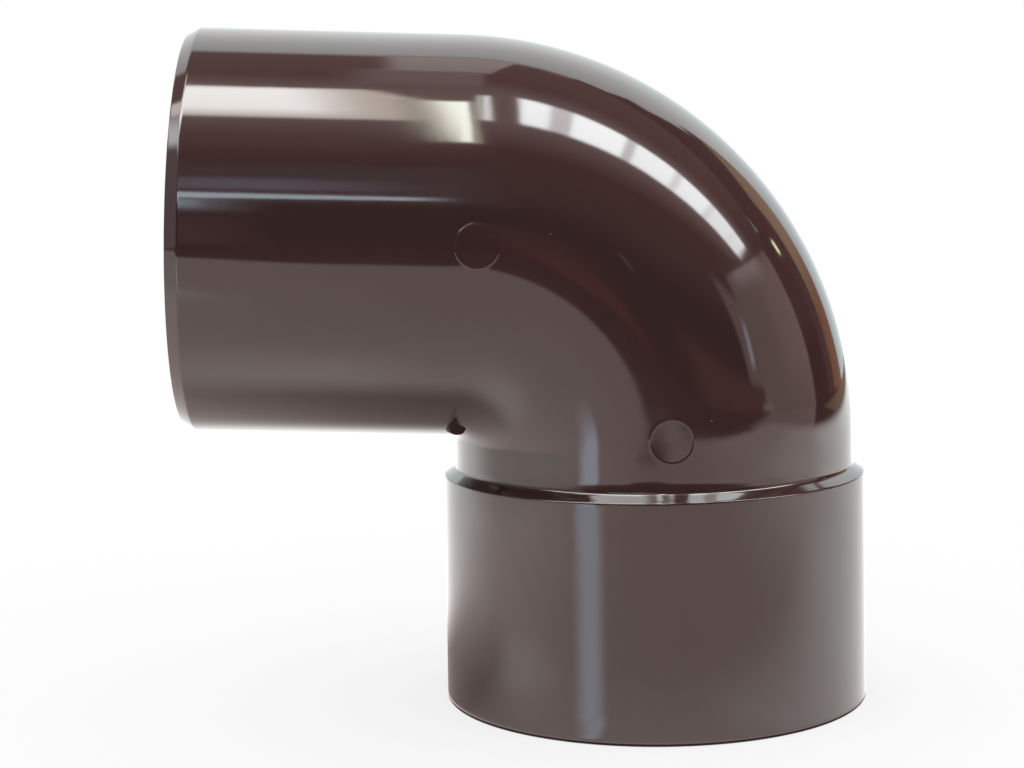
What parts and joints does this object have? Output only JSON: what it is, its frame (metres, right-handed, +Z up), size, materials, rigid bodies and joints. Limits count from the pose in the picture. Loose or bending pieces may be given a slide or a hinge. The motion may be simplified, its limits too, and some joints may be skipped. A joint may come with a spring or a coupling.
{
  "type": "downspout elbow",
  "caption": "Moulded rainwater pipe elbow: a socket below, a tight bend of just under a right angle, and a plain bevelled spigot to the side.",
  "frame": {"origin": "centre of the socket's mouth, on the plane that the elbow stands on", "axes": "+Z up the socket's axis, the spigot leaves towards -X and 2.5 degrees upwards, +Y away from the side that carries the ejector pin marks"},
  "size_m": [0.1704, 0.1066, 0.1699],
  "materials": {
    "brown_plastic": "smooth glossy chocolate brown moulding"
  },
  "bodies": {
    "root": {"elbow_body": "brown_plastic"}
  },
  "joints": []
}
